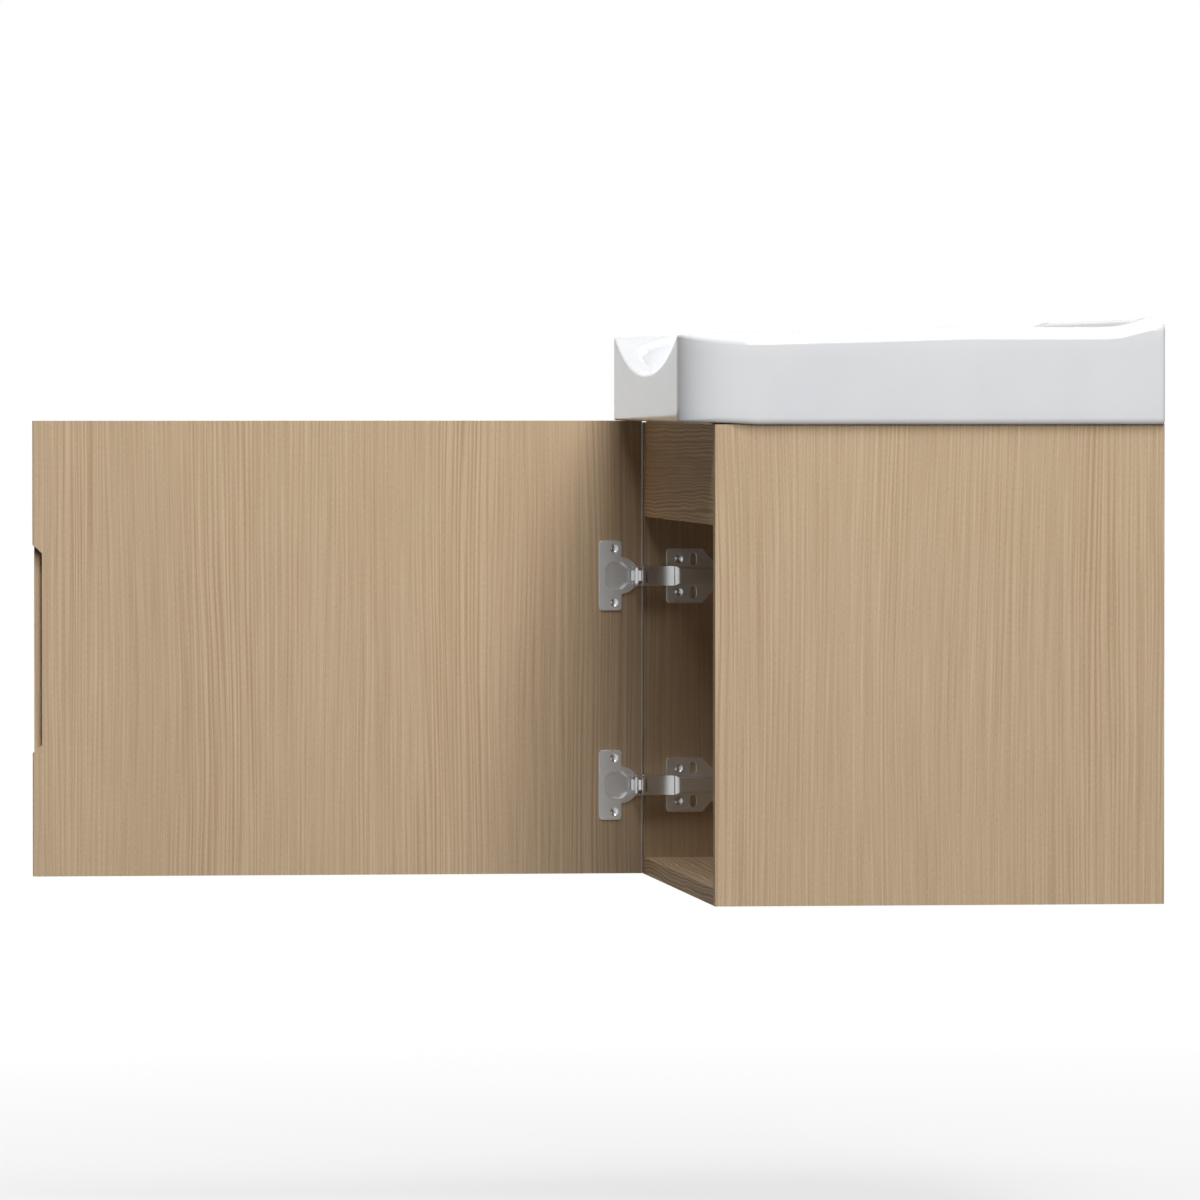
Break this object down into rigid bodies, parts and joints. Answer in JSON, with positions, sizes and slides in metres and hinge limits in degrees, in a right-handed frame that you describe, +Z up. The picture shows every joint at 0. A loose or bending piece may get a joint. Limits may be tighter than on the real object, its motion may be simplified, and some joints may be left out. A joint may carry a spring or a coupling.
{
  "type": "wall-hung vanity unit",
  "caption": "Wall-hung vanity unit: a washbasin with a dipped front rim on an open-backed board cabinet with a side-hung door on concealed hinges and a milled finger pull.",
  "frame": {"origin": "wall plane, at the middle of the upper back rail's back face", "axes": "+Z up, +Y into the wall, +X to the right when facing the wall; the door is open at a right angle in front of the left side"},
  "size_m": [0.6, 0.9998, 0.5323],
  "materials": {
    "wood": "matt wood-grain laminate",
    "ceramic": "gloss white",
    "steel": "satin nickel-plated",
    "zinc": "bright zinc-plated"
  },
  "bodies": {
    "cabinet": {"basin": "ceramic", "left_side_panel": "wood", "right_side_panel": "wood", "bottom_panel": "wood", "front_rail": "wood", "upper_back_rail": "wood", "lower_back_rail": "wood", "bottom_front_cam_left": "zinc", "bottom_front_cam_right": "zinc", "bottom_back_cam_left": "zinc", "bottom_back_cam_right": "zinc", "front_rail_cam_left": "zinc", "front_rail_cam_right": "zinc", "upper_rail_cam_left": "zinc", "upper_rail_cam_right": "zinc", "lower_rail_cam_left": "zinc", "lower_rail_cam_right": "zinc", "bottom_front_bolt_left": "zinc", "bottom_front_bolt_right": "zinc", "bottom_back_bolt_left": "zinc", "bottom_back_bolt_right": "zinc", "front_rail_bolt_left": "zinc", "front_rail_bolt_right": "zinc", "upper_rail_bolt_left": "zinc", "upper_rail_bolt_right": "zinc", "lower_rail_bolt_left": "zinc", "lower_rail_bolt_right": "zinc", "left_hanger": "zinc", "right_hanger": "zinc", "left_hanger_screw_lower": "zinc", "left_hanger_screw_upper": "zinc", "right_hanger_screw_lower": "zinc", "right_hanger_screw_upper": "zinc", "lower_mounting_plate": "steel", "lower_hinge_arm": "steel", "upper_mounting_plate": "steel", "upper_hinge_arm": "steel", "lower_plate_screw_lower": "zinc", "lower_plate_screw_upper": "zinc", "lower_arm_screw": "zinc", "lower_outer_arm_pin": "zinc", "lower_inner_arm_pin": "zinc", "upper_plate_screw_lower": "zinc", "upper_plate_screw_upper": "zinc", "upper_arm_screw": "zinc", "upper_outer_arm_pin": "zinc", "upper_inner_arm_pin": "zinc"},
    "door": {"door_panel": "wood", "lower_hinge_cup": "steel", "upper_hinge_cup": "steel", "lower_cup_pin": "zinc", "lower_cup_screw_lower": "zinc", "lower_cup_screw_upper": "zinc", "upper_cup_pin": "zinc", "upper_cup_screw_lower": "zinc", "upper_cup_screw_upper": "zinc"},
    "upper_outer_link": {"upper_outer_link": "steel"},
    "upper_inner_link": {"upper_inner_link": "steel"},
    "lower_outer_link": {"lower_outer_link": "steel"},
    "lower_inner_link": {"lower_inner_link": "steel"}
  },
  "joints": [
    {"name": "upper_outer_link_turn", "type": "hinge", "parent": "cabinet", "child": "upper_outer_link", "pos_m": [-0.27254, -0.41227, -0.103], "axis": [0, 0, 1], "range_deg": [-39.7, 4.06]},
    {"name": "door_swing", "type": "hinge", "parent": "upper_outer_link", "child": "door", "pos_m": [-0.28105, -0.42163, -0.103], "axis": [0, 0, 1], "range_deg": [-12.96, 129.6]},
    {"name": "upper_inner_link_turn", "type": "hinge", "parent": "cabinet", "child": "upper_inner_link", "pos_m": [-0.26704, -0.41936, -0.103], "axis": [0, 0, 1], "range_deg": [-31.3, 3.22]},
    {"name": "lower_outer_link_turn", "type": "hinge", "parent": "cabinet", "child": "lower_outer_link", "pos_m": [-0.27254, -0.41227, -0.305], "axis": [0, 0, 1], "range_deg": [-39.7, 4.06]},
    {"name": "lower_inner_link_turn", "type": "hinge", "parent": "cabinet", "child": "lower_inner_link", "pos_m": [-0.26704, -0.41936, -0.305], "axis": [0, 0, 1], "range_deg": [-31.3, 3.22]}
  ],
  "couplings": [
    {"joint": "upper_outer_link_turn", "follows": "door_swing", "ratio": -0.30556},
    {"joint": "upper_inner_link_turn", "follows": "door_swing", "ratio": -0.24074},
    {"joint": "lower_outer_link_turn", "follows": "door_swing", "ratio": -0.30556},
    {"joint": "lower_inner_link_turn", "follows": "door_swing", "ratio": -0.24074}
  ]
}
